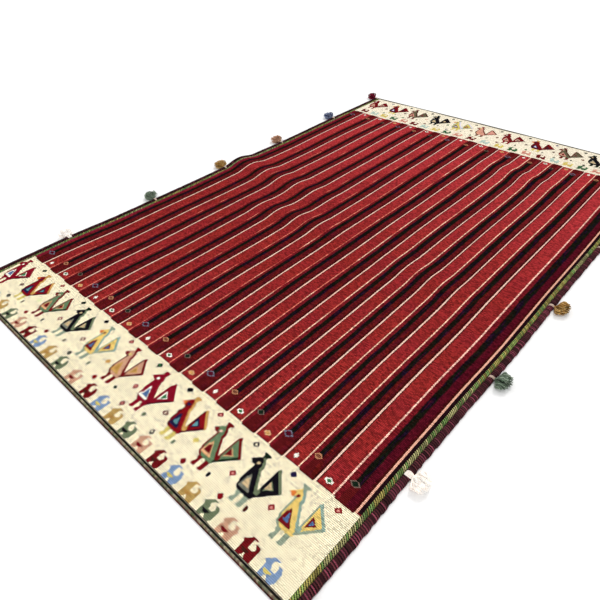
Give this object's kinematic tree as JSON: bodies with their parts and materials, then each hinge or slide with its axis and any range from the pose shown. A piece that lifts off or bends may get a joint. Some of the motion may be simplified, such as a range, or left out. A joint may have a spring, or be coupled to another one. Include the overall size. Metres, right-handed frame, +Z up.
{
  "type": "soumak rug",
  "caption": "Flat woven wool rug with lengthwise stripes, cream end panels of birds and small animals, wrapped selvedges, braided ends and side tassels.",
  "frame": {"origin": "middle of the underside, on the floor: the bottom centre of the box round the rug and its tassels", "axes": "+X across the width to the right, +Y along the length to the far end, +Z up from the floor"},
  "size_m": [1.606, 2.3158, 0.027],
  "materials": {
    "woven_wool": "matt wool weft wrapped over cotton warps, striped reds with cream end panels",
    "green_wool": "matt wool yarn wrapped round a cord, mixed olive and sage greens",
    "plum_wool": "matt wool yarn overcast in ribs, plum to near black",
    "braid_wool": "matt wool braid, dark edges and mixed olive and grey strands",
    "red_yarn": "cut wool yarn, dark red",
    "white_yarn": "cut wool yarn, off-white",
    "sage_yarn": "cut wool yarn, grey green",
    "gold_yarn": "cut wool yarn, old gold",
    "tan_yarn": "cut wool yarn, pinkish tan",
    "blue_yarn": "cut wool yarn, slate blue"
  },
  "bodies": {
    "root": {"rug_cloth": "woven_wool", "wrapped_cord_left": "green_wool", "wrapped_cord_right": "green_wool", "selvedge_left": "plum_wool", "selvedge_right": "plum_wool", "end_braid_near": "braid_wool", "end_braid_far": "braid_wool", "tassel_left_1": "red_yarn", "tassel_left_2": "white_yarn", "tassel_left_3": "sage_yarn", "tassel_left_4": "gold_yarn", "tassel_left_5": "tan_yarn", "tassel_left_6": "blue_yarn", "tassel_left_7": "red_yarn", "tassel_right_1": "red_yarn", "tassel_right_2": "white_yarn", "tassel_right_3": "sage_yarn", "tassel_right_4": "gold_yarn", "tassel_right_5": "tan_yarn", "tassel_right_6": "blue_yarn", "tassel_right_7": "red_yarn"}
  },
  "joints": []
}
